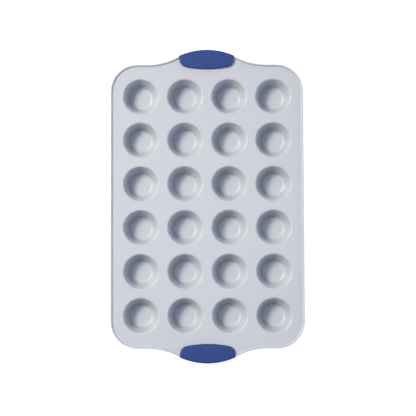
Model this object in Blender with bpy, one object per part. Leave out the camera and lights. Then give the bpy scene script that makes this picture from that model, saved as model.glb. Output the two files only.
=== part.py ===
"""A mini muffin pan with 24 cups: one pressed steel sheet with a rolled rim, and a grip on each of its wings.

Metres, +Z up. X runs across the pan, Y along it, and the pan stands on its cup floors at z = 0. The one sheet
is modelled as simpler solids that follow each other with a hairline seam: the deck, the rim and each cup.
"""

import math

import bmesh
import bpy
from mathutils import Matrix, Vector

# The sheet
SHEET = 0.0008
SEAM = 0.0003  # between neighbouring solids

# The cups
COLUMNS = 4
ROWS = 6
PITCH_X = 0.0610
PITCH_Y = 0.0605
CUP_MOUTH_RADIUS = 0.0240  # where the wall, carried on up, meets the deck
CUP_DEPTH = 0.0205  # from the deck down to the cup's floor
CUP_DRAFT = math.radians(22)  # how far the wall leans from upright
MOUTH_FILLET = 0.0040
FLOOR_FILLET = 0.0045
CUP_SIDES = 16
FILLET_STEPS = 2

# The deck and its outline, at the rim's outer edge
DECK_TOP = SHEET + CUP_DEPTH
HALF_WIDTH = 0.1332
HALF_LENGTH = 0.1958  # to the short ends, without the wings
CORNER_RADIUS = 0.0373
WING_REACH = 0.0186  # how far a wing stands out from the short end
WING_FOOT = 0.0820  # half the wing's width where it leaves the short end
WING_RADIUS = 0.1030

# The rolled rim: a bend out of the deck, a short slope, then a tight roll
RIM_RISE = 0.0024  # crest above the deck
RIM_SLOPE = math.radians(50)
RIM_BEND = 0.0009
RIM_ROLL = 0.0009
RIM_CURVES = RIM_BEND + RIM_ROLL
RIM_RUN = (RIM_RISE - RIM_CURVES * (1 - math.cos(RIM_SLOPE))) / math.tan(RIM_SLOPE)
RIM_BAND = RIM_ROLL + RIM_CURVES * math.sin(RIM_SLOPE) + RIM_RUN

# The silicone grips, as distances from the pan's middle where they say so
GRIP_INNER = 0.1892  # the grip's edge nearest the cups, at its middle
GRIP_OUTER = 0.2162
GRIP_INNER_RADIUS = 0.150
GRIP_OUTER_RADIUS = 0.0931
GRIP_STATION = 0.2050  # where the grip's half width is stated
GRIP_HALF_WIDTH = 0.0383
GRIP_SIDE_LEAN = math.radians(10.8)  # the sides close in towards the cups
GRIP_INNER_CORNER = 0.0105
GRIP_OUTER_CORNER = 0.0022
GRIP_LIP = 0.0015  # thickness of the lips above and below the wing
GRIP_EDGE = 0.0009  # rounding of the lips' edges

STEEL_COATING = ("pale_grey_coating", (0.60, 0.62, 0.67, 1.0), 0.38, 0.0)
BLUE_SILICONE = ("blue_silicone", (0.042, 0.080, 0.255, 1.0), 0.55, 0.0)


def clear_scene():
    for old in list(bpy.data.objects):
        bpy.data.objects.remove(old)


def make_material(finish):
    name, colour, roughness, metallic = finish
    material = bpy.data.materials.new(name)
    material.use_nodes = True
    shader = material.node_tree.nodes["Principled BSDF"]
    shader.inputs["Base Color"].default_value = colour
    shader.inputs["Roughness"].default_value = roughness
    shader.inputs["Metallic"].default_value = metallic
    material.diffuse_color = colour
    return material


def add_object(name, mesh, material, location=(0.0, 0.0, 0.0)):
    if not mesh.materials:
        mesh.materials.append(material)
    piece = bpy.data.objects.new(name, mesh)
    piece.location = location
    bpy.context.scene.collection.objects.link(piece)
    return piece


def finish_mesh(name, shape):
    """Turns a bmesh into a mesh that is shaded smooth except at its sharp edges."""
    bmesh.ops.recalc_face_normals(shape, faces=shape.faces)
    mesh = bpy.data.meshes.new(name)
    shape.to_mesh(mesh)
    shape.free()
    mesh.shade_smooth()
    mesh.set_sharp_from_angle(angle=math.radians(50))
    return mesh


def arc(centre, radius, start, end, steps):
    """Points on an arc, from the start angle to the end angle, both included."""
    points = []
    for step in range(steps + 1):
        angle = start + (end - start) * step / steps
        points.append((centre[0] + radius * math.cos(angle), centre[1] + radius * math.sin(angle)))
    return points


def corner_lead(radius):
    """How far from a corner of the cup's profile its fillet begins."""
    return radius * math.tan((math.pi / 2 - CUP_DRAFT) / 2)


def mouth_edge_radius():
    """Where the mouth's fillet runs out onto the deck."""
    return CUP_MOUTH_RADIUS + corner_lead(MOUTH_FILLET)


def cup_surface(below):
    """Half the cup's section from deck to floor, as (radius, z), that far below the sheet's upper side."""
    floor_corner = CUP_MOUTH_RADIUS - CUP_DEPTH * math.tan(CUP_DRAFT)
    mouth_centre = (mouth_edge_radius(), DECK_TOP - MOUTH_FILLET)
    floor_centre = (floor_corner - corner_lead(FLOOR_FILLET), SHEET + FLOOR_FILLET)
    mouth = arc(mouth_centre, MOUTH_FILLET - below, math.pi / 2, math.pi - CUP_DRAFT, FILLET_STEPS)
    floor = arc(floor_centre, FLOOR_FILLET + below, -CUP_DRAFT, -math.pi / 2, FILLET_STEPS)
    return mouth + floor


def cup_mesh():
    """One cup, turned about its own upright axis."""
    upper = cup_surface(0.0) + [(0.0, SHEET)]
    under = cup_surface(SHEET) + [(0.0, 0.0)]
    profile = upper[::-1] + under
    shape = bmesh.new()
    corners = [shape.verts.new((radius, 0.0, z)) for radius, z in profile]
    edges = [shape.edges.new(pair) for pair in zip(corners, corners[1:])]
    bmesh.ops.spin(
        shape,
        geom=corners + edges,
        cent=(0.0, 0.0, 0.0),
        axis=(0.0, 0.0, 1.0),
        angle=2 * math.pi,
        steps=CUP_SIDES,
        use_merge=True,
    )
    bmesh.ops.remove_doubles(shape, verts=shape.verts, dist=0.00001)
    return finish_mesh("cup", shape)


def cup_centres():
    """(row, column, x, y) of each cup, from the far left of the pan to the near right."""
    centres = []
    for row in range(ROWS):
        for column in range(COLUMNS):
            x = (column - (COLUMNS - 1) / 2) * PITCH_X
            y = ((ROWS - 1) / 2 - row) * PITCH_Y
            centres.append((row + 1, column + 1, x, y))
    return centres


def make_cups(coating):
    mesh = cup_mesh()
    for row, column, x, y in cup_centres():
        add_object(f"cup_row{row}_col{column}", mesh, coating, (x, y, 0.0))


def outline_quadrant(inset):
    """The outline's +X +Y quarter, moved inwards by inset: long side, corner, short end, neck and wing."""
    turn = 2 * math.atan(WING_REACH / WING_FOOT)
    neck_radius = WING_FOOT / math.sin(turn) - WING_RADIUS
    corner_centre = (HALF_WIDTH - CORNER_RADIUS, HALF_LENGTH - CORNER_RADIUS)
    neck_centre = (WING_FOOT, HALF_LENGTH + neck_radius)
    wing_centre = (0.0, HALF_LENGTH + WING_REACH - WING_RADIUS)
    corner = arc(corner_centre, CORNER_RADIUS - inset, 0.0, math.pi / 2, 6)
    neck = arc(neck_centre, neck_radius + inset, -math.pi / 2, -math.pi / 2 - turn, 3)
    wing = arc(wing_centre, WING_RADIUS - inset, math.pi / 2 - turn, math.pi / 2, 5)
    return corner + neck[:-1] + wing


def outline(inset):
    """The whole outline, counter-clockwise from the long side at +X."""
    quarter = outline_quadrant(inset)
    far_half = quarter + [(-x, y) for x, y in quarter[-2::-1]]
    return far_half + [(-x, -y) for x, y in far_half]


def extruded(points, bottom, top):
    """An upright prism over an outline."""
    shape = bmesh.new()
    base = shape.faces.new([shape.verts.new((x, y, bottom)) for x, y in points])
    raised = bmesh.ops.extrude_face_region(shape, geom=[base])
    moved = [item for item in raised["geom"] if isinstance(item, bmesh.types.BMVert)]
    bmesh.ops.translate(shape, verts=moved, vec=(0.0, 0.0, top - bottom))
    return shape


def make_cutter(name, shape):
    """A helper that a Boolean subtracts, left out of the model."""
    bmesh.ops.recalc_face_normals(shape, faces=shape.faces)
    mesh = bpy.data.meshes.new(name)
    shape.to_mesh(mesh)
    shape.free()
    cutter = bpy.data.objects.new(name, mesh)
    bpy.context.scene.collection.objects.link(cutter)
    cutter.hide_render = True
    cutter.display_type = "WIRE"
    return cutter


def subtract(piece, cutter):
    cut = piece.modifiers.new(cutter.name, "BOOLEAN")
    cut.operation = "DIFFERENCE"
    cut.solver = "EXACT"
    cut.object = cutter


def make_deck(coating):
    """The flat deck with its two wings, cut by the cup mouths."""
    plate = extruded(outline(RIM_BAND + SEAM), DECK_TOP - SHEET, DECK_TOP)
    deck = add_object("deck", finish_mesh("deck", plate), coating)
    holes = bmesh.new()
    for _, _, x, y in cup_centres():
        bmesh.ops.create_cone(
            holes,
            cap_ends=True,
            segments=CUP_SIDES,
            radius1=mouth_edge_radius() + SEAM,
            radius2=mouth_edge_radius() + SEAM,
            depth=4 * SHEET,
            matrix=Matrix.Translation((x, y, DECK_TOP - SHEET / 2)) @ hole_turn(),
        )
    subtract(deck, make_cutter("cup_mouths", holes))


def hole_turn():
    """A cone's ring starts on +Y and a cup's on +X, so the ring is turned to bring them in line."""
    return Matrix.Rotation(math.pi / 2, 4, "Z")


def rim_section():
    """The rim's section as (inset, height above the deck): bend, slope, roll and under side."""
    level = 1.5 * math.pi
    bend = arc((RIM_BAND, RIM_BEND), RIM_BEND, level, level - RIM_SLOPE, FILLET_STEPS)
    roll = arc((RIM_ROLL, RIM_RISE - RIM_ROLL), RIM_ROLL, math.pi / 2 - RIM_SLOPE, level, 6)
    return bend + roll + [(RIM_BAND, -SHEET)]


def make_rim(coating):
    """The rolled rim, its section carried round the outline."""
    shape = bmesh.new()
    loops = []
    for inset, height in rim_section():
        loops.append([shape.verts.new((x, y, DECK_TOP + height)) for x, y in outline(inset)])
    for loop, following in zip(loops, loops[1:] + loops[:1]):
        for index in range(len(loop)):
            ahead = (index + 1) % len(loop)
            shape.faces.new((loop[index], loop[ahead], following[ahead], following[index]))
    add_object("rolled_rim", finish_mesh("rolled_rim", shape), coating)


def grip_corner(centre, radius, rounding, direction):
    """Centre of the +X corner that touches a grip's side and, from inside, the circle round centre.

    direction is 1 where the side runs out to the circle, and -1 where it runs in to it.
    """
    along = Vector((math.sin(GRIP_SIDE_LEAN), math.cos(GRIP_SIDE_LEAN)))
    start = Vector((GRIP_HALF_WIDTH, GRIP_STATION)) + rounding * Vector((-along.y, along.x))
    offset = start - Vector(centre)
    half = offset.dot(along)
    root = math.sqrt(half**2 - offset.length_squared + (radius - rounding) ** 2)
    return start + along * (direction * root - half)


def grip_outline():
    """The far grip seen from above, counter-clockwise from the middle of its inner edge."""
    inner_centre = (0.0, GRIP_INNER + GRIP_INNER_RADIUS)
    outer_centre = (0.0, GRIP_OUTER - GRIP_OUTER_RADIUS)
    inner_corner = grip_corner(inner_centre, GRIP_INNER_RADIUS, GRIP_INNER_CORNER, -1)
    outer_corner = grip_corner(outer_centre, GRIP_OUTER_RADIUS, GRIP_OUTER_CORNER, 1)
    inner_turn = math.atan2(inner_corner.y - inner_centre[1], inner_corner.x)
    outer_turn = math.atan2(outer_corner.y - outer_centre[1], outer_corner.x)
    right = arc(inner_centre, GRIP_INNER_RADIUS, -math.pi / 2, inner_turn, 3)
    right += arc(inner_corner, GRIP_INNER_CORNER, inner_turn, -GRIP_SIDE_LEAN, 3)[1:]
    right += arc(outer_corner, GRIP_OUTER_CORNER, -GRIP_SIDE_LEAN, outer_turn, 2)
    right += arc(outer_centre, GRIP_OUTER_RADIUS, outer_turn, math.pi / 2, 5)[1:]
    return right + [(-x, y) for x, y in right[-2:0:-1]]


def slot_outline():
    """The space that a far grip keeps for the wing: open to the cups and at both ends."""
    radius = WING_RADIUS + SEAM
    centre = (0.0, HALF_LENGTH + WING_REACH - WING_RADIUS)
    reach = math.asin(1.15 * GRIP_HALF_WIDTH / radius)
    outer = arc(centre, radius, math.pi / 2 - reach, math.pi / 2 + reach, 10)
    open_end = GRIP_INNER - 0.01
    return outer + [(outer[-1][0], open_end), (outer[0][0], open_end)]


def make_grip(name, material, facing):
    """A silicone sleeve, built at the far wing and turned half round for the near one."""
    slot_bottom = DECK_TOP - SHEET - SEAM
    slot_top = DECK_TOP + RIM_RISE + SEAM
    body = extruded(grip_outline(), slot_bottom - GRIP_LIP, slot_top + GRIP_LIP)
    rims = [edge for edge in body.edges if abs(edge.verts[0].co.z - edge.verts[1].co.z) < SHEET]
    bmesh.ops.bevel(body, geom=rims, offset=GRIP_EDGE, segments=2, profile=0.5, affect="EDGES")
    bmesh.ops.rotate(body, verts=body.verts, matrix=Matrix.Rotation(facing, 3, "Z"))
    grip = add_object(name, finish_mesh(name, body), material)
    slot = extruded(slot_outline(), slot_bottom, slot_top)
    bmesh.ops.rotate(slot, verts=slot.verts, matrix=Matrix.Rotation(facing, 3, "Z"))
    subtract(grip, make_cutter(f"{name}_slot", slot))


def main():
    clear_scene()
    coating = make_material(STEEL_COATING)
    silicone = make_material(BLUE_SILICONE)
    make_deck(coating)
    make_rim(coating)
    make_cups(coating)
    make_grip("grip_far", silicone, 0.0)
    make_grip("grip_near", silicone, math.pi)


main()
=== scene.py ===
"""The finished look of a mini muffin pan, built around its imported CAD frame.

The pan is one pressed and coated steel sheet: a flat deck, round tapered cups and a rolled rim that also
runs round the two end wings. A silicone sleeve grips each wing. Everything is in metres, +Z up, in the
frame of the CAD.
"""

from __future__ import annotations

import logging
import math
from dataclasses import dataclass
from enum import Enum
from itertools import product

import bmesh
import bpy
from mathutils import Matrix, Vector


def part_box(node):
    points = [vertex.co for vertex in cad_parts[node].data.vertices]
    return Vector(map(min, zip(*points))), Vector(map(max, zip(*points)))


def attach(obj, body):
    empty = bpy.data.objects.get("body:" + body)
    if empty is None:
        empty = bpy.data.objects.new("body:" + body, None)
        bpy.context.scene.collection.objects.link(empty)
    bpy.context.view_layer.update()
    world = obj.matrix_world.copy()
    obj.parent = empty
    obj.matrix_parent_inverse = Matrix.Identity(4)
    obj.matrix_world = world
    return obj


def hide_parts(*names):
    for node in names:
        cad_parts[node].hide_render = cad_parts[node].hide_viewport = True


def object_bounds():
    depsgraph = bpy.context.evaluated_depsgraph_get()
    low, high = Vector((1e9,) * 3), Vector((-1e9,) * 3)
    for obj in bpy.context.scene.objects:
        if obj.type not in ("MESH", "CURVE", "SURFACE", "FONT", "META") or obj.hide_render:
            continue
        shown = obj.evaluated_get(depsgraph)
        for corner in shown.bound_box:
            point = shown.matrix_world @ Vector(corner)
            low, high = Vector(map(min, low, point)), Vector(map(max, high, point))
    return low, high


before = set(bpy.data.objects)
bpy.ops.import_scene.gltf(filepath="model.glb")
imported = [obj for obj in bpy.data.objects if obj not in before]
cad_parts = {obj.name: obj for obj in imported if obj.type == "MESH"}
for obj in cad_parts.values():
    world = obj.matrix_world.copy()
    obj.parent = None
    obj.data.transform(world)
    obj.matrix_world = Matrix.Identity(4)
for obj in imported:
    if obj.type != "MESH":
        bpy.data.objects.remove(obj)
CAD_LOW, CAD_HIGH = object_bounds()

RIGHT_ANGLE = math.pi / 2
SHARP_ANGLE = math.radians(40)  # a bend beyond this shows as a crease
LEVEL_TOLERANCE = 0.00005  # how far off the deck's level an edge still counts as on it

log = logging.getLogger("muffin_pan")

Point = tuple[float, float]
Tone = tuple[float, float, float]


class End(Enum):
    """The two short ends of the pan, each with the turn that brings a far-end piece there."""

    FAR = 0.0
    NEAR = math.pi


class Shape(Enum):
    """The kinds of socket that a node group takes its sizes through."""

    LENGTH = "NodeSocketFloat"
    COUNT = "NodeSocketInt"
    OBJECT = "NodeSocketObject"
    MATERIAL = "NodeSocketMaterial"
    GEOMETRY = "NodeSocketGeometry"


def arc(centre: Point, radius: float, start: float, end: float, steps: int) -> list[Point]:
    """Makes the points of an arc.

    Args:
        centre: The arc's centre.
        radius: Its radius.
        start: The angle of the first point, in radians.
        end: The angle of the last point.
        steps: How many equal steps lie between them.

    Returns:
        The points, both ends included.
    """
    angles = [start + (end - start) * step / steps for step in range(steps + 1)]
    x, y = centre
    return [(x + radius * math.cos(angle), y + radius * math.sin(angle)) for angle in angles]


def link(piece: bpy.types.Object) -> bpy.types.Object:
    """Puts an object in the scene.

    Args:
        piece: The new object.

    Returns:
        The same object.
    """
    bpy.context.scene.collection.objects.link(piece)
    return piece


def plain_mesh(piece: bpy.types.Object) -> bpy.types.Mesh:
    """Works out an object's modifiers.

    Args:
        piece: An object in the scene.

    Returns:
        A new mesh that holds the object as its modifiers leave it.
    """
    bpy.context.view_layer.update()
    graph = bpy.context.evaluated_depsgraph_get()
    return bpy.data.meshes.new_from_object(piece.evaluated_get(graph), depsgraph=graph)


def settle(piece: bpy.types.Object) -> None:
    """Replaces an object's mesh and modifiers by the plain mesh that they make.

    Args:
        piece: The object, which is changed.
    """
    made = plain_mesh(piece)
    piece.modifiers.clear()
    piece.data = made


def tinted(tone: Tone, factor: float) -> tuple[float, float, float, float]:
    """Makes a colour lighter or darker.

    Args:
        tone: Its red, green and blue.
        factor: What each of them is multiplied by.

    Returns:
        The new colour with a full alpha.
    """
    return tuple(min(level * factor, 1.0) for level in tone) + (1.0,)


def polyline(name: str, points: list[Point], closed: bool) -> bpy.types.Object:
    """Draws a line for a node group to read.

    Args:
        name: The line's name.
        points: Its corners, in the XY plane.
        closed: Whether its last point joins its first.

    Returns:
        A curve object with one straight-sided spline.
    """
    curve = bpy.data.curves.new(name, "CURVE")
    curve.dimensions = "3D"
    spline = curve.splines.new("POLY")
    spline.points.add(len(points) - 1)
    for corner, (x, y) in zip(spline.points, points):
        corner.co = (x, y, 0.0, 1.0)
    spline.use_cyclic_u = closed
    return link(bpy.data.objects.new(name, curve))


class NodeSketch:
    """A node tree under construction, with short calls to add and join its nodes."""

    def __init__(self, tree: bpy.types.NodeTree) -> None:
        """Starts from an existing tree, which gets the nodes."""
        self.tree = tree

    def add(self, kind: str, settings: dict | None = None, **wires: object) -> bpy.types.Node:
        """Adds a node.

        Args:
            kind: The node's type name in Blender.
            settings: Values for the node's own properties.
            **wires: For each input, by its name with _ for a space, a socket to join or a value to set.

        Returns:
            The new node.
        """
        node = self.tree.nodes.new(kind)
        for key, value in (settings or {}).items():
            setattr(node, key, value)
        for key, value in wires.items():
            self.wire(node.inputs[key.replace("_", " ")], value)
        return node

    def wire(self, socket: bpy.types.NodeSocket, value: object) -> None:
        """Feeds a socket.

        Args:
            socket: The input to feed.
            value: Another socket to join it to, or a plain value to set it to.
        """
        if isinstance(value, bpy.types.NodeSocket):
            self.tree.links.new(value, socket)
        else:
            socket.default_value = value

    def maths(self, operation: str, *values: object) -> bpy.types.NodeSocket:
        """Adds a maths node.

        Args:
            operation: What it does, in Blender's name for it.
            *values: A socket or a number for each of its inputs, in order.

        Returns:
            The result's socket.
        """
        node = self.add("ShaderNodeMath", {"operation": operation})
        for socket, value in zip(node.inputs, values):
            self.wire(socket, value)
        return node.outputs[0]

    def noise(self, size: float, detail: float) -> bpy.types.NodeSocket:
        """Adds a noise that stays with the object.

        Args:
            size: How large its blobs are.
            detail: How many finer layers it has.

        Returns:
            The noise's value, about 0 to 1.
        """
        place = self.add("ShaderNodeTexCoord").outputs["Object"]
        made = self.add("ShaderNodeTexNoise", Vector=place, Scale=1 / size, Detail=detail)
        return made.outputs["Fac"]

    def blend(self, share: bpy.types.NodeSocket, tone: Tone, swing: float) -> bpy.types.NodeSocket:
        """Lets a colour swing between a darker and a lighter one.

        Args:
            share: Where it stands between the two, from 0 to 1.
            tone: The colour in the middle.
            swing: How far each end lies from it, as a share of it.

        Returns:
            The colour's socket.
        """
        mix = self.add("ShaderNodeMix", {"data_type": "RGBA"})
        self.wire(mix.inputs["Factor"], share)
        ends = [socket for socket in mix.inputs if socket.type == "RGBA"]
        self.wire(ends[0], tinted(tone, 1 - swing))
        self.wire(ends[1], tinted(tone, 1 + swing))
        return next(socket for socket in mix.outputs if socket.type == "RGBA")


class ShapeRecipe(NodeSketch):
    """A geometry node group with named inputs, which makes one piece."""

    def __init__(self, name: str, inputs: dict[str, tuple[Shape, object]]) -> None:
        """Opens the group.

        Args:
            name: The group's name.
            inputs: For each named input, its kind and the value that it gets on the piece.
        """
        super().__init__(bpy.data.node_groups.new(name, "GeometryNodeTree"))
        self.values = {}
        self.tree.interface.new_socket("Geometry", in_out="OUTPUT", socket_type=Shape.GEOMETRY.value)
        for label, (kind, value) in inputs.items():
            made = self.tree.interface.new_socket(label, in_out="INPUT", socket_type=kind.value)
            self.values[made.identifier] = value
        self.given = self.tree.nodes.new("NodeGroupInput").outputs

    def end_with(self, geometry: bpy.types.NodeSocket, material: bpy.types.NodeSocket) -> None:
        """Realizes the geometry, gives it its material and hands it out.

        Args:
            geometry: The finished shape.
            material: The input that holds its material.
        """
        real = self.add("GeometryNodeRealizeInstances", Geometry=geometry)
        dressed = self.add("GeometryNodeSetMaterial", Geometry=real.outputs[0], Material=material)
        self.add("NodeGroupOutput", Geometry=dressed.outputs[0])

    def make(self, name: str) -> bpy.types.Object:
        """Runs the group.

        Args:
            name: The piece's name.

        Returns:
            An object with the plain mesh that the group makes.
        """
        piece = link(bpy.data.objects.new(name, bpy.data.meshes.new(name)))
        modifier = piece.modifiers.new("recipe", "NODES")
        modifier.node_group = self.tree
        for identifier, value in self.values.items():
            modifier[identifier] = value
        settle(piece)
        return piece


@dataclass(frozen=True)
class SprayedCoating:
    """A satin non-stick coating of the ceramic kind, sprayed on steel."""

    tone: Tone = (0.350, 0.385, 0.455)
    cloud_contrast: float = 0.03
    cloud_size: float = 0.07
    cloud_detail: float = 3.0
    peel_size: float = 0.0022
    peel_detail: float = 2.0
    grain_size: float = 0.00035
    grain_detail: float = 1.0
    peel_height: float = 0.000012
    grain_height: float = 0.000006
    roughness: float = 0.36
    roughness_swing: float = 0.06

    def material(self) -> bpy.types.Material:
        """Makes the coating's material.

        Returns:
            A material with faint clouds of tone, the spray's orange peel and its fine grain.
        """
        made = bpy.data.materials.new("sprayed_coating")
        made.use_nodes = True
        sketch = NodeSketch(made.node_tree)
        shader = made.node_tree.nodes["Principled BSDF"]
        clouds = sketch.noise(self.cloud_size, self.cloud_detail)
        peel = sketch.noise(self.peel_size, self.peel_detail)
        grain = sketch.noise(self.grain_size, self.grain_detail)
        sketch.wire(shader.inputs["Base Color"], sketch.blend(clouds, self.tone, self.cloud_contrast))
        rough = sketch.add("ShaderNodeMapRange", Value=peel)
        rough.inputs["To Min"].default_value = self.roughness - self.roughness_swing
        rough.inputs["To Max"].default_value = self.roughness + self.roughness_swing
        sketch.wire(shader.inputs["Roughness"], rough.outputs[0])
        waves = sketch.add("ShaderNodeBump", Height=peel, Distance=self.peel_height)
        bump = sketch.add("ShaderNodeBump", Height=grain, Distance=self.grain_height)
        sketch.wire(bump.inputs["Normal"], waves.outputs[0])
        sketch.wire(shader.inputs["Normal"], bump.outputs[0])
        return made


@dataclass(frozen=True)
class MouldedSilicone:
    """Soft blue silicone with the fine matt texture of its mould."""

    tone: Tone = (0.0074, 0.0332, 0.165)
    bloom: float = 0.10
    bloom_size: float = 0.006
    bloom_detail: float = 4.0
    mould_size: float = 0.0004
    mould_detail: float = 2.0
    mould_height: float = 0.00002
    roughness: float = 0.55
    shine: float = 0.3

    def material(self) -> bpy.types.Material:
        """Makes the silicone's material.

        Returns:
            A material with a faint bloom in its tone and a fine moulded texture.
        """
        made = bpy.data.materials.new("moulded_silicone")
        made.use_nodes = True
        sketch = NodeSketch(made.node_tree)
        shader = made.node_tree.nodes["Principled BSDF"]
        shader.inputs["Roughness"].default_value = self.roughness
        shader.inputs["Specular IOR Level"].default_value = self.shine
        bloom = sketch.noise(self.bloom_size, self.bloom_detail)
        mould = sketch.noise(self.mould_size, self.mould_detail)
        sketch.wire(shader.inputs["Base Color"], sketch.blend(bloom, self.tone, self.bloom))
        bump = sketch.add("ShaderNodeBump", Height=mould, Distance=self.mould_height)
        sketch.wire(shader.inputs["Normal"], bump.outputs[0])
        return made


@dataclass
class PressedPan:
    """The pan: one sheet of steel, pressed into a deck with cups and rolled over at its edge."""

    coating: bpy.types.Material
    gauge: float = 0.0008
    columns: int = 4
    rows: int = 6
    mouth_fillet: float = 0.0021
    mouth_trim: float = 0.0012  # how far inside the CAD's mouth this rounding starts, since it is tighter
    floor_fillet: float = 0.0032
    draft: float = math.radians(22)
    corner_radius: float = 0.0373
    wing_reach: float = 0.0186  # how far a wing stands out past the short side
    wing_foot: float = 0.0820  # where the wing's neck leaves the short side, from the middle
    wing_radius: float = 0.1030
    rim_slope: float = math.radians(68)
    rim_bend: float = 0.0007
    roll_radius: float = 0.0011
    roll_end: float = math.radians(250)  # the roll's free edge has to stay off the deck's level
    flat_margin: float = 0.0008  # the strip of flat deck that each swept section carries
    cup_segments: int = 56
    fillet_steps: int = 10
    bend_steps: int = 6
    roll_steps: int = 18
    corner_steps: int = 24
    wing_steps: int = 16
    slope_shares: tuple[float, ...] = (0.08, 0.5, 0.92)
    wall_shares: tuple[float, ...] = (0.06, 0.35, 0.65, 0.94)
    floor_shares: tuple[float, ...] = (0.06, 0.5)
    weld: float = 0.00001

    def __post_init__(self) -> None:
        """Reads from the CAD the sizes that the frame gives, and works out the rim's width."""
        rim_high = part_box("rolled_rim")[1]
        first = self.cup_middle(1, 1)
        self.deck_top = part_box("deck")[1].z
        self.pitch_across = self.cup_middle(1, 2).x - first.x
        self.pitch_along = first.y - self.cup_middle(2, 1).y
        cup_low, cup_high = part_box("cup_row1_col1")
        self.mouth_edge = (cup_high.x - cup_low.x) / 2 - self.mouth_trim
        self.depth = self.deck_top - self.gauge
        self.half_width = rim_high.x
        self.half_length = rim_high.y - self.wing_reach
        self.rise = rim_high.z - self.deck_top
        curves = self.rim_bend + self.roll_radius
        run = (self.rise - curves * (1 - math.cos(self.rim_slope))) / math.tan(self.rim_slope)
        self.band = self.roll_radius + curves * math.sin(self.rim_slope) + run

    @staticmethod
    def cup_name(row: int, column: int) -> str:
        """Gives the CAD node's name for one cup."""
        return f"cup_row{row}_col{column}"

    def cup_middle(self, row: int, column: int) -> Vector:
        """Gives the middle of one cup's box in the CAD."""
        low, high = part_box(self.cup_name(row, column))
        return (low + high) / 2

    def nodes(self) -> list[str]:
        """Lists the CAD nodes that the sheet stands for."""
        places = product(range(1, self.rows + 1), range(1, self.columns + 1))
        return ["deck", "rolled_rim"] + [self.cup_name(row, column) for row, column in places]

    def outline(self) -> list[Point]:
        """Draws the rim's outer edge.

        Returns:
            Its points, counter-clockwise from the long side at +X.
        """
        turn = 2 * math.atan(self.wing_reach / self.wing_foot)
        neck_radius = self.wing_foot / math.sin(turn) - self.wing_radius
        corner_centre = (self.half_width - self.corner_radius, self.half_length - self.corner_radius)
        neck_centre = (self.wing_foot, self.half_length + neck_radius)
        wing_centre = (0.0, self.half_length + self.wing_reach - self.wing_radius)
        corner = arc(corner_centre, self.corner_radius, 0.0, RIGHT_ANGLE, self.corner_steps)
        neck = arc(neck_centre, neck_radius, -RIGHT_ANGLE, -RIGHT_ANGLE - turn, self.wing_steps)
        wing = arc(wing_centre, self.wing_radius, RIGHT_ANGLE - turn, RIGHT_ANGLE, self.wing_steps)
        quarter = corner + neck[:-1] + wing
        far_half = quarter + [(-x, y) for x, y in quarter[-2::-1]]
        return far_half + [(-x, -y) for x, y in far_half]

    def rim_section(self) -> list[Point]:
        """Draws the rim's section: a strip of flat deck, the bend out of it, a slope and the roll.

        Returns:
            Points as (distance out from the outer edge, distance below zero), as the sweep reads them.
        """
        level = 3 * RIGHT_ANGLE
        bend_centre = (self.band, self.rim_bend)
        bend = arc(bend_centre, self.rim_bend, level, level - self.rim_slope, self.bend_steps)
        roll_centre = (self.roll_radius, self.rise - self.roll_radius)
        roll_start = RIGHT_ANGLE - self.rim_slope
        roll = arc(roll_centre, self.roll_radius, roll_start, self.roll_end, self.roll_steps)
        slope = self.along(bend[-1], roll[0], self.slope_shares)
        drawn = [(self.band + self.flat_margin, 0.0)] + bend + slope + roll
        return [(-inset, -(self.deck_top + height)) for inset, height in drawn]

    def cup_section(self) -> list[Point]:
        """Draws half a cup's section, from the flat deck at its mouth to the middle of its floor.

        Returns:
            Points as (distance out from the mouth's edge, distance below zero), as the sweep reads them.
        """
        lead = math.tan((RIGHT_ANGLE - self.draft) / 2)
        mouth_radius = self.mouth_edge - self.mouth_fillet * lead
        floor_radius = mouth_radius - self.depth * math.tan(self.draft)
        floor_top = self.deck_top - self.depth
        mouth_centre = (self.mouth_edge, self.deck_top - self.mouth_fillet)
        floor_centre = (floor_radius - self.floor_fillet * lead, floor_top + self.floor_fillet)
        mouth_end = 2 * RIGHT_ANGLE - self.draft
        mouth = arc(mouth_centre, self.mouth_fillet, RIGHT_ANGLE, mouth_end, self.fillet_steps)
        floor = arc(floor_centre, self.floor_fillet, -self.draft, -RIGHT_ANGLE, self.fillet_steps)
        wall = self.along(mouth[-1], floor[0], self.wall_shares)
        flat = self.along(floor[-1], (0.0, floor_top), self.floor_shares)
        rim = [(self.mouth_edge + self.flat_margin, self.deck_top)]
        drawn = rim + mouth + wall + floor + flat + [(0.0, floor_top)]
        return [(radius - self.mouth_edge, -height) for radius, height in drawn]

    @staticmethod
    def along(start: Point, end: Point, shares: tuple[float, ...]) -> list[Point]:
        """Gives the points that lie at some shares of the way from start to end."""
        run, climb = end[0] - start[0], end[1] - start[1]
        return [(start[0] + run * share, start[1] + climb * share) for share in shares]

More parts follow.
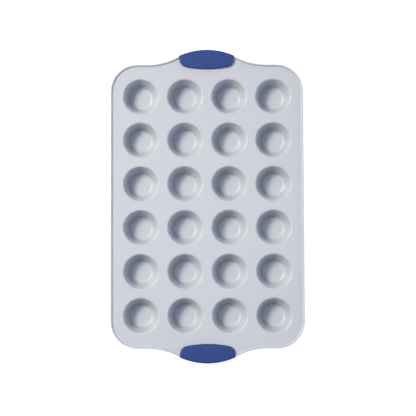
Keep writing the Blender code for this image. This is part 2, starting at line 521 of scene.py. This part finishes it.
    def recipe(self, lines: dict[str, bpy.types.Object]) -> ShapeRecipe:
        """Builds the node group that presses the sheet.

        Args:
            lines: The outline and the two sections, by the names of the group's inputs.

        Returns:
            The group, ready to run.
        """
        inputs = {label: (Shape.OBJECT, line) for label, line in lines.items()}
        inputs["Columns"] = (Shape.COUNT, self.columns)
        inputs["Rows"] = (Shape.COUNT, self.rows)
        inputs["Pitch across"] = (Shape.LENGTH, self.pitch_across)
        inputs["Pitch along"] = (Shape.LENGTH, self.pitch_along)
        inputs["Mouth edge"] = (Shape.LENGTH, self.mouth_edge)
        inputs["Cup segments"] = (Shape.COUNT, self.cup_segments)
        inputs["Deck top"] = (Shape.LENGTH, self.deck_top)
        inputs["Weld"] = (Shape.LENGTH, self.weld)
        inputs["Coating"] = (Shape.MATERIAL, self.coating)
        made = ShapeRecipe("pressed_sheet", inputs)
        rim = self.swept(made, self.drawn(made, "Outline"), "Rim section")
        ring = made.add(
            "GeometryNodeCurvePrimitiveCircle",
            {"mode": "RADIUS"},
            Resolution=made.given["Cup segments"],
            Radius=made.given["Mouth edge"],
        )
        cup = self.swept(made, ring.outputs[0], "Cup section")
        loose = self.joined(made, rim, self.repeated(made, cup))
        deck = self.deck_between(made, loose)
        made.end_with(self.joined(made, loose, deck), made.given["Coating"])
        return made

    @staticmethod
    def drawn(made: ShapeRecipe, label: str) -> bpy.types.NodeSocket:
        """Reads one of the drawn lines into the group."""
        return made.add("GeometryNodeObjectInfo", Object=made.given[label]).outputs["Geometry"]

    def swept(self, made: ShapeRecipe, path: bpy.types.NodeSocket, section: str) -> bpy.types.NodeSocket:
        """Carries a section along a level path.

        Args:
            made: The group being built.
            path: The path's curve.
            section: The name of the input that holds the section.

        Returns:
            The surface that the section leaves.
        """
        level = made.add("GeometryNodeSetCurveNormal", {"mode": "Z_UP"}, Curve=path)
        sweep = made.add("GeometryNodeCurveToMesh", Curve=level.outputs[0])
        made.wire(sweep.inputs["Profile Curve"], self.drawn(made, section))
        return sweep.outputs[0]

    @staticmethod
    def joined(made: ShapeRecipe, *parts: bpy.types.NodeSocket) -> bpy.types.NodeSocket:
        """Joins surfaces and welds the points that they share.

        Args:
            made: The group being built.
            *parts: The surfaces.

        Returns:
            The joined surface.
        """
        whole = made.add("GeometryNodeJoinGeometry")
        for part in parts:
            made.wire(whole.inputs[0], part)
        weld = made.given["Weld"]
        welded = made.add("GeometryNodeMergeByDistance", Geometry=whole.outputs[0], Distance=weld)
        return welded.outputs[0]

    @staticmethod
    def repeated(made: ShapeRecipe, cup: bpy.types.NodeSocket) -> bpy.types.NodeSocket:
        """Sets a cup at each place of the grid.

        Args:
            made: The group being built.
            cup: One cup's surface, about the origin.

        Returns:
            All the cups' surfaces.
        """
        spans = []
        for count, pitch in (("Columns", "Pitch across"), ("Rows", "Pitch along")):
            gaps = made.maths("SUBTRACT", made.given[count], 1.0)
            spans.append(made.maths("MULTIPLY", gaps, made.given[pitch]))
        grid = made.add(
            "GeometryNodeMeshGrid",
            Size_X=spans[0],
            Size_Y=spans[1],
            Vertices_X=made.given["Columns"],
            Vertices_Y=made.given["Rows"],
        )
        placed = made.add("GeometryNodeInstanceOnPoints", Points=grid.outputs[0], Instance=cup)
        return made.add("GeometryNodeRealizeInstances", Geometry=placed.outputs[0]).outputs[0]

    @staticmethod
    def deck_between(made: ShapeRecipe, loose: bpy.types.NodeSocket) -> bpy.types.NodeSocket:
        """Fills the flat deck between the rim and the cups.

        Args:
            made: The group being built.
            loose: The rim and the cups, whose free edges on the deck's level bound it.

        Returns:
            The deck's surface.
        """
        faces = made.add("GeometryNodeInputMeshEdgeNeighbors").outputs[0]
        free = made.maths("COMPARE", faces, 1.0, 0.5)  # one face only
        place = made.add("GeometryNodeInputPosition").outputs[0]
        height = made.add("ShaderNodeSeparateXYZ", Vector=place).outputs[2]
        level = made.maths("COMPARE", height, made.given["Deck top"], LEVEL_TOLERANCE)
        both = made.maths("MULTIPLY", free, level)
        bounds = made.add("GeometryNodeMeshToCurve", Mesh=loose, Selection=both)
        flat = made.add("GeometryNodeFillCurve", {"mode": "TRIANGLES"}, Curve=bounds.outputs[0])
        up = made.add("ShaderNodeCombineXYZ", Z=made.given["Deck top"])
        raised = made.add("GeometryNodeTransform", Geometry=flat.outputs[0], Translation=up.outputs[0])
        return raised.outputs[0]

    @staticmethod
    def face_up(sheet: bpy.types.Object) -> None:
        """Turns every face of the one-sided sheet the same way, with the deck's faces up.

        Args:
            sheet: The sheet, which is changed.
        """
        shape = bmesh.new()
        shape.from_mesh(sheet.data)
        bmesh.ops.recalc_face_normals(shape, faces=shape.faces)
        widest = max(shape.faces, key=lambda face: face.calc_area())
        if widest.normal.z < 0:
            bmesh.ops.reverse_faces(shape, faces=shape.faces)
        shape.to_mesh(sheet.data)
        shape.free()

    def build(self) -> bpy.types.Object:
        """Presses the sheet, gives it its gauge and joins it to the frame.

        Returns:
            The finished piece.
        """
        lines = {
            "Outline": polyline("outline", self.outline(), True),
            "Rim section": polyline("rim_section", self.rim_section(), False),
            "Cup section": polyline("cup_section", self.cup_section(), False),
        }
        sheet = self.recipe(lines).make("pan_sheet")
        for line in lines.values():
            bpy.data.objects.remove(line)
        self.face_up(sheet)
        wall = sheet.modifiers.new("gauge", "SOLIDIFY")
        wall.thickness = self.gauge
        wall.offset = -1.0
        wall.use_even_offset = True
        settle(sheet)
        sheet.data.shade_smooth()
        sheet.data.set_sharp_from_angle(angle=SHARP_ANGLE)
        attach(sheet, "pan")
        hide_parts(*self.nodes())
        return sheet


@dataclass
class SiliconeGrip:
    """A silicone sleeve over one wing: a soft-edged slab with a slot for the wing."""

    end: End
    silicone: bpy.types.Material
    pan: PressedPan
    clearance: float = 0.0003
    outer_radius: float = 0.0931
    inner_radius: float = 0.1500
    outer_corner: float = 0.0022
    inner_corner: float = 0.0105
    side_lean: float = math.radians(10.8)
    side_half_width: float = 0.0383
    side_station: float = 0.0112  # how far in from the outer edge the half width is measured
    edge_rounding: float = 0.0020
    crown: float = 0.0003
    lip_rounding: float = 0.0003
    lip_angle: float = math.radians(45)
    lip_segments: int = 2
    edge_steps: int = 6
    long_steps: int = 18
    inner_steps: int = 14
    inner_corner_steps: int = 12
    outer_corner_steps: int = 6
    slot_steps: int = 40
    slot_overreach: float = 1.15  # the half width of the slot's cutter, as a multiple of the sleeve's
    slot_overrun: float = 0.01  # how far the cutter runs out past the sleeve, towards the cups
    face_shares: tuple[float, ...] = (0.97, 0.85, 0.6, 0.3)

    def __post_init__(self) -> None:
        """Reads the sleeve's box from the CAD, as at the far end."""
        low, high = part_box("grip_far")
        self.inner, self.outer = low.y, high.y
        self.bottom, self.top = low.z, high.z

    @property
    def name(self) -> str:
        """Gives the CAD node and the body that the sleeve belongs to."""
        return f"grip_{self.end.name.lower()}"

    def corner_centre(self, centre: Point, radius: float, rounding: float, upper: bool) -> Point:
        """Finds the centre of a corner's rounding, which touches a side and a long arc from inside.

        Args:
            centre: The long arc's centre.
            radius: Its radius.
            rounding: The corner's radius.
            upper: Whether the corner is the outer one, where the long arc's circle is crossed going up.

        Returns:
            The corner's centre, on the +X side.
        """
        lean = self.side_lean
        along = Vector((math.sin(lean), math.cos(lean)))
        inward = Vector((-math.cos(lean), math.sin(lean)))
        start = Vector((self.side_half_width, self.outer - self.side_station)) + inward * rounding
        offset = start - Vector(centre)
        half = offset.dot(along)
        root = math.sqrt(half**2 - offset.length_squared + (radius - rounding) ** 2)
        reach = -half + root if upper else -half - root
        return tuple(start + along * reach)

    def plan(self, inset: float) -> list[Point]:
        """Draws the far sleeve from above.

        Args:
            inset: How far its outline is moved inwards.

        Returns:
            The outline's points, counter-clockwise.
        """
        outer_centre = (0.0, self.outer - self.outer_radius)
        inner_centre = (0.0, self.inner + self.inner_radius)
        outer_corner = self.corner_centre(outer_centre, self.outer_radius, self.outer_corner, True)
        inner_corner = self.corner_centre(inner_centre, self.inner_radius, self.inner_corner, False)
        outer_turn = math.atan2(outer_corner[1] - outer_centre[1], outer_corner[0])
        inner_turn = math.atan2(inner_corner[1] - inner_centre[1], inner_corner[0])
        side = -self.side_lean
        half = arc(inner_centre, self.inner_radius - inset, -RIGHT_ANGLE, inner_turn, self.inner_steps)
        half += arc(inner_corner, self.inner_corner - inset, inner_turn, side, self.inner_corner_steps)
        half += arc(outer_corner, self.outer_corner - inset, side, outer_turn, self.outer_corner_steps)
        half += arc(outer_centre, self.outer_radius - inset, outer_turn, RIGHT_ANGLE, self.long_steps)[1:]
        return half + [(-x, y) for x, y in half[-2:0:-1]]

    def rings(self) -> list[list[Vector]]:
        """Stacks the slab's rings of points.

        Returns:
            The rings, from the middle of the under side, over the edge, to the middle of the top.
        """
        centre = (self.edge_rounding, self.edge_rounding)
        levels = arc(centre, self.edge_rounding, -RIGHT_ANGLE, -2 * RIGHT_ANGLE, self.edge_steps)
        under = [(inset, self.bottom + rise) for inset, rise in levels]
        shoulder = self.top - self.crown
        over = [(inset, shoulder - rise) for inset, rise in levels[::-1]]
        skirt = [[Vector((x, y, z)) for x, y in self.plan(inset)] for inset, z in under + over]
        middle = Vector((0.0, (self.inner + self.outer) / 2, 0.0))
        floor = [self.shrunk(skirt[0], middle, share, 0.0) for share in self.face_shares[::-1]]
        lid = [self.shrunk(skirt[-1], middle, share, self.crown) for share in self.face_shares]
        return floor + skirt + lid

    @staticmethod
    def shrunk(ring: list[Vector], middle: Vector, share: float, crown: float) -> list[Vector]:
        """Shrinks a ring towards a middle, on a crown that rises as it shrinks."""
        flat = [middle.xy + (point.xy - middle.xy) * share for point in ring]
        return [Vector((x, y, point.z + crown * (1 - share**2))) for (x, y), point in zip(flat, ring)]

    def slab(self) -> bmesh.types.BMesh:
        """Builds the slab.

        Returns:
            One closed skin, at the far end.
        """
        shape = bmesh.new()
        loops = [[shape.verts.new(point) for point in ring] for ring in self.rings()]
        for lower, upper in zip(loops, loops[1:]):
            for index, corner in enumerate(lower):
                ahead = (index + 1) % len(lower)
                shape.faces.new((corner, lower[ahead], upper[ahead], upper[index]))
        for loop in (loops[0][::-1], loops[-1]):
            heart = shape.verts.new(sum((corner.co for corner in loop), Vector()) / len(loop))
            for index, corner in enumerate(loop):
                shape.faces.new((corner, loop[(index + 1) % len(loop)], heart))
        bmesh.ops.recalc_face_normals(shape, faces=shape.faces)
        return shape

    def slot(self) -> bmesh.types.BMesh:
        """Builds the space for the wing.

        Returns:
            A closed shape that opens the slab to the cups and at both ends, but not past the wing's edge.
        """
        pan = self.pan
        radius = pan.wing_radius + self.clearance
        centre = (0.0, pan.half_length + pan.wing_reach - pan.wing_radius)
        reach = math.asin(self.slot_overreach * self.side_half_width / radius)
        edge = arc(centre, radius, RIGHT_ANGLE - reach, RIGHT_ANGLE + reach, self.slot_steps)
        mouth = self.inner - self.slot_overrun
        outline = edge + [(edge[-1][0], mouth), (edge[0][0], mouth)]
        floor = pan.deck_top - pan.gauge - self.clearance
        ceiling = pan.deck_top + pan.rise + self.clearance
        shape = bmesh.new()
        base = shape.faces.new([shape.verts.new((x, y, floor)) for x, y in outline])
        raised = bmesh.ops.extrude_face_region(shape, geom=[base])["geom"]
        moved = [item for item in raised if isinstance(item, bmesh.types.BMVert)]
        bmesh.ops.translate(shape, verts=moved, vec=(0.0, 0.0, ceiling - floor))
        bmesh.ops.recalc_face_normals(shape, faces=shape.faces)
        return shape

    def placed(self, name: str, shape: bmesh.types.BMesh) -> bpy.types.Object:
        """Turns a far-end shape to this sleeve's end and makes it an object.

        Args:
            name: The object's name.
            shape: The shape, which is used up.

        Returns:
            The new object, in the scene.
        """
        bmesh.ops.rotate(shape, verts=shape.verts, matrix=Matrix.Rotation(self.end.value, 3, "Z"))
        mesh = bpy.data.meshes.new(name)
        shape.to_mesh(mesh)
        shape.free()
        return link(bpy.data.objects.new(name, mesh))

    def build(self) -> bpy.types.Object:
        """Moulds the sleeve and joins it to the frame.

        Returns:
            The finished piece.
        """
        sleeve = self.placed(f"silicone_{self.name}", self.slab())
        cutter = self.placed("slot", self.slot())
        cut = sleeve.modifiers.new("slot", "BOOLEAN")
        cut.operation = "DIFFERENCE"
        cut.solver = "EXACT"
        cut.object = cutter
        soft = sleeve.modifiers.new("lips", "BEVEL")
        soft.width = self.lip_rounding
        soft.segments = self.lip_segments
        soft.limit_method = "ANGLE"
        soft.angle_limit = self.lip_angle
        settle(sleeve)
        bpy.data.objects.remove(cutter)
        sleeve.data.materials.clear()
        sleeve.data.materials.append(self.silicone)
        sleeve.data.shade_smooth()
        sleeve.data.set_sharp_from_angle(angle=SHARP_ANGLE)
        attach(sleeve, self.name)
        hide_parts(self.name)
        return sleeve


@dataclass(frozen=True)
class SoftBox:
    """A soft studio light that faces the pan. Its bearing and its elevation are in degrees."""

    name: str
    bearing: float
    elevation: float
    distance: float
    width: float
    height: float
    power: float
    tint: Tone

    def build(self, target: Vector) -> bpy.types.Object:
        """Hangs the light.

        Args:
            target: What it faces.

        Returns:
            The light.
        """
        lamp = bpy.data.lights.new(self.name, "AREA")
        lamp.shape = "RECTANGLE"
        lamp.size = self.width
        lamp.size_y = self.height
        lamp.energy = self.power
        lamp.color = self.tint
        bearing, elevation = math.radians(self.bearing), math.radians(self.elevation)
        level = math.cos(elevation)
        away = Vector((level * math.cos(bearing), level * math.sin(bearing), math.sin(elevation)))
        light = link(bpy.data.objects.new(self.name, lamp))
        light.location = target + away * self.distance
        light.rotation_euler = away.to_track_quat("Z", "Y").to_euler()
        light.visible_camera = False
        return light


@dataclass(frozen=True)
class Studio:
    """The pale table, the lights, the glowing walls of the room and the camera.

    The camera's rise is above the deck, and its setback and side are from the pan's middle.
    """

    table_size: float = 24.0
    table_tone: tuple[float, float, float, float] = (0.36, 0.36, 0.37, 1.0)
    table_glow: float = 0.85
    table_roughness: float = 0.9
    table_drop: float = 0.0002
    wall_tone: tuple[float, float, float, float] = (0.927, 0.928, 1.0, 1.0)
    wall_glow: float = 4.52
    wall_floor: float = 0.2  # the darkest side of the room, as a share of the brightest
    wall_bearing: float = math.radians(15)
    wall_focus: float = 2.0
    wall_falloff: float = 2.0
    camera_rise: float = 1.750
    camera_setback: float = -0.1010
    camera_side: float = 0.0009
    camera_lean: float = math.radians(3.197)
    camera_roll: float = math.radians(-0.218)
    lens: float = 110.14
    sight: float = 20.0

    @staticmethod
    def boxes() -> list[SoftBox]:
        """Lists the lights.

        Returns:
            A wide, warm key from the upper left and a weak, cool light overhead.
        """
        key = SoftBox(
            "key",
            bearing=155.0,
            elevation=47.0,
            distance=3.8,
            width=1.9,
            height=0.9,
            power=231.0,
            tint=(1.0, 0.908, 0.746),
        )
        overhead = SoftBox(
            "overhead",
            bearing=90.0,
            elevation=88.0,
            distance=3.0,
            width=1.0,
            height=1.0,
            power=20.1,
            tint=(0.783, 0.842, 1.0),
        )
        return [key, overhead]

    def table(self) -> bpy.types.Object:
        """Lays the table that the pan stands on, which glows so that it stays pale everywhere.

        Returns:
            The table.
        """
        shape = bmesh.new()
        bmesh.ops.create_grid(shape, x_segments=1, y_segments=1, size=self.table_size / 2)
        mesh = bpy.data.meshes.new("table")
        shape.to_mesh(mesh)
        shape.free()
        surface = bpy.data.materials.new("pale_table")
        surface.use_nodes = True
        shader = surface.node_tree.nodes["Principled BSDF"]
        shader.inputs["Base Color"].default_value = self.table_tone
        shader.inputs["Roughness"].default_value = self.table_roughness
        shader.inputs["Emission Color"].default_value = (1.0, 1.0, 1.0, 1.0)
        shader.inputs["Emission Strength"].default_value = self.table_glow
        mesh.materials.append(surface)
        table = link(bpy.data.objects.new("table", mesh))
        table.location.z = CAD_LOW.z - self.table_drop
        return table

    def room(self) -> None:
        """Lights the room's walls, which are brightest low down on one side and dark overhead.

        The tint is the background's colour, and nodes work out its strength for each direction.
        """
        world = bpy.data.worlds.new("room")
        world.use_nodes = True
        sketch = NodeSketch(world.node_tree)
        sky = world.node_tree.nodes["Background"]
        sky.inputs["Color"].default_value = self.wall_tone
        outlook = sketch.add("ShaderNodeTexCoord").outputs["Generated"]
        height = sketch.add("ShaderNodeSeparateXYZ", Vector=outlook).outputs[2]
        side = sketch.add("ShaderNodeVectorMath", {"operation": "DOT_PRODUCT"})
        sketch.wire(side.inputs[0], outlook)
        sketch.wire(side.inputs[1], (math.cos(self.wall_bearing), math.sin(self.wall_bearing), 0.0))
        facing = sketch.maths("MULTIPLY_ADD", side.outputs["Value"], 0.5, 0.5)
        narrow = sketch.maths("POWER", facing, self.wall_focus)
        bright = sketch.maths("MULTIPLY_ADD", narrow, 1 - self.wall_floor, self.wall_floor)
        lowness = sketch.maths("SUBTRACT", 1.0, sketch.maths("MAXIMUM", height, 0.0))
        low = sketch.maths("POWER", lowness, self.wall_falloff)
        glow = sketch.maths("MULTIPLY", sketch.maths("MULTIPLY", bright, low), self.wall_glow)
        sketch.wire(sky.inputs["Strength"], glow)
        bpy.context.scene.world = world
        bpy.context.scene.view_settings.view_transform = "Standard"

    def camera(self, deck_top: float) -> bpy.types.Object:
        """Sets the camera almost straight above the pan, a little towards its near end.

        Args:
            deck_top: The height of the pan's deck.

        Returns:
            The camera.
        """
        lens = bpy.data.cameras.new("camera")
        lens.lens = self.lens
        lens.clip_end = self.sight
        camera = link(bpy.data.objects.new("camera", lens))
        camera.location = (self.camera_side, self.camera_setback, deck_top + self.camera_rise)
        camera.rotation_euler = (self.camera_lean, 0.0, self.camera_roll)
        bpy.context.scene.camera = camera
        return camera

    def build(self, deck_top: float) -> None:
        """Sets up the whole studio round the pan.

        Args:
            deck_top: The height of the pan's deck, which the lights face.
        """
        self.table()
        self.room()
        self.camera(deck_top)
        for box in self.boxes():
            box.build(Vector((0.0, 0.0, deck_top)))


def report(piece: bpy.types.Object) -> None:
    """Logs a piece's name and how many faces it has."""
    log.info("%s: %d faces", piece.name, len(piece.data.polygons))


def main() -> None:
    """Builds every piece, then the studio."""
    logging.basicConfig(level=logging.INFO, format="%(message)s")
    pan = PressedPan(SprayedCoating().material())
    report(pan.build())
    silicone = MouldedSilicone().material()
    for end in End:
        report(SiliconeGrip(end, silicone, pan).build())
    Studio().build(pan.deck_top)


if __name__ == "__main__":
    main()
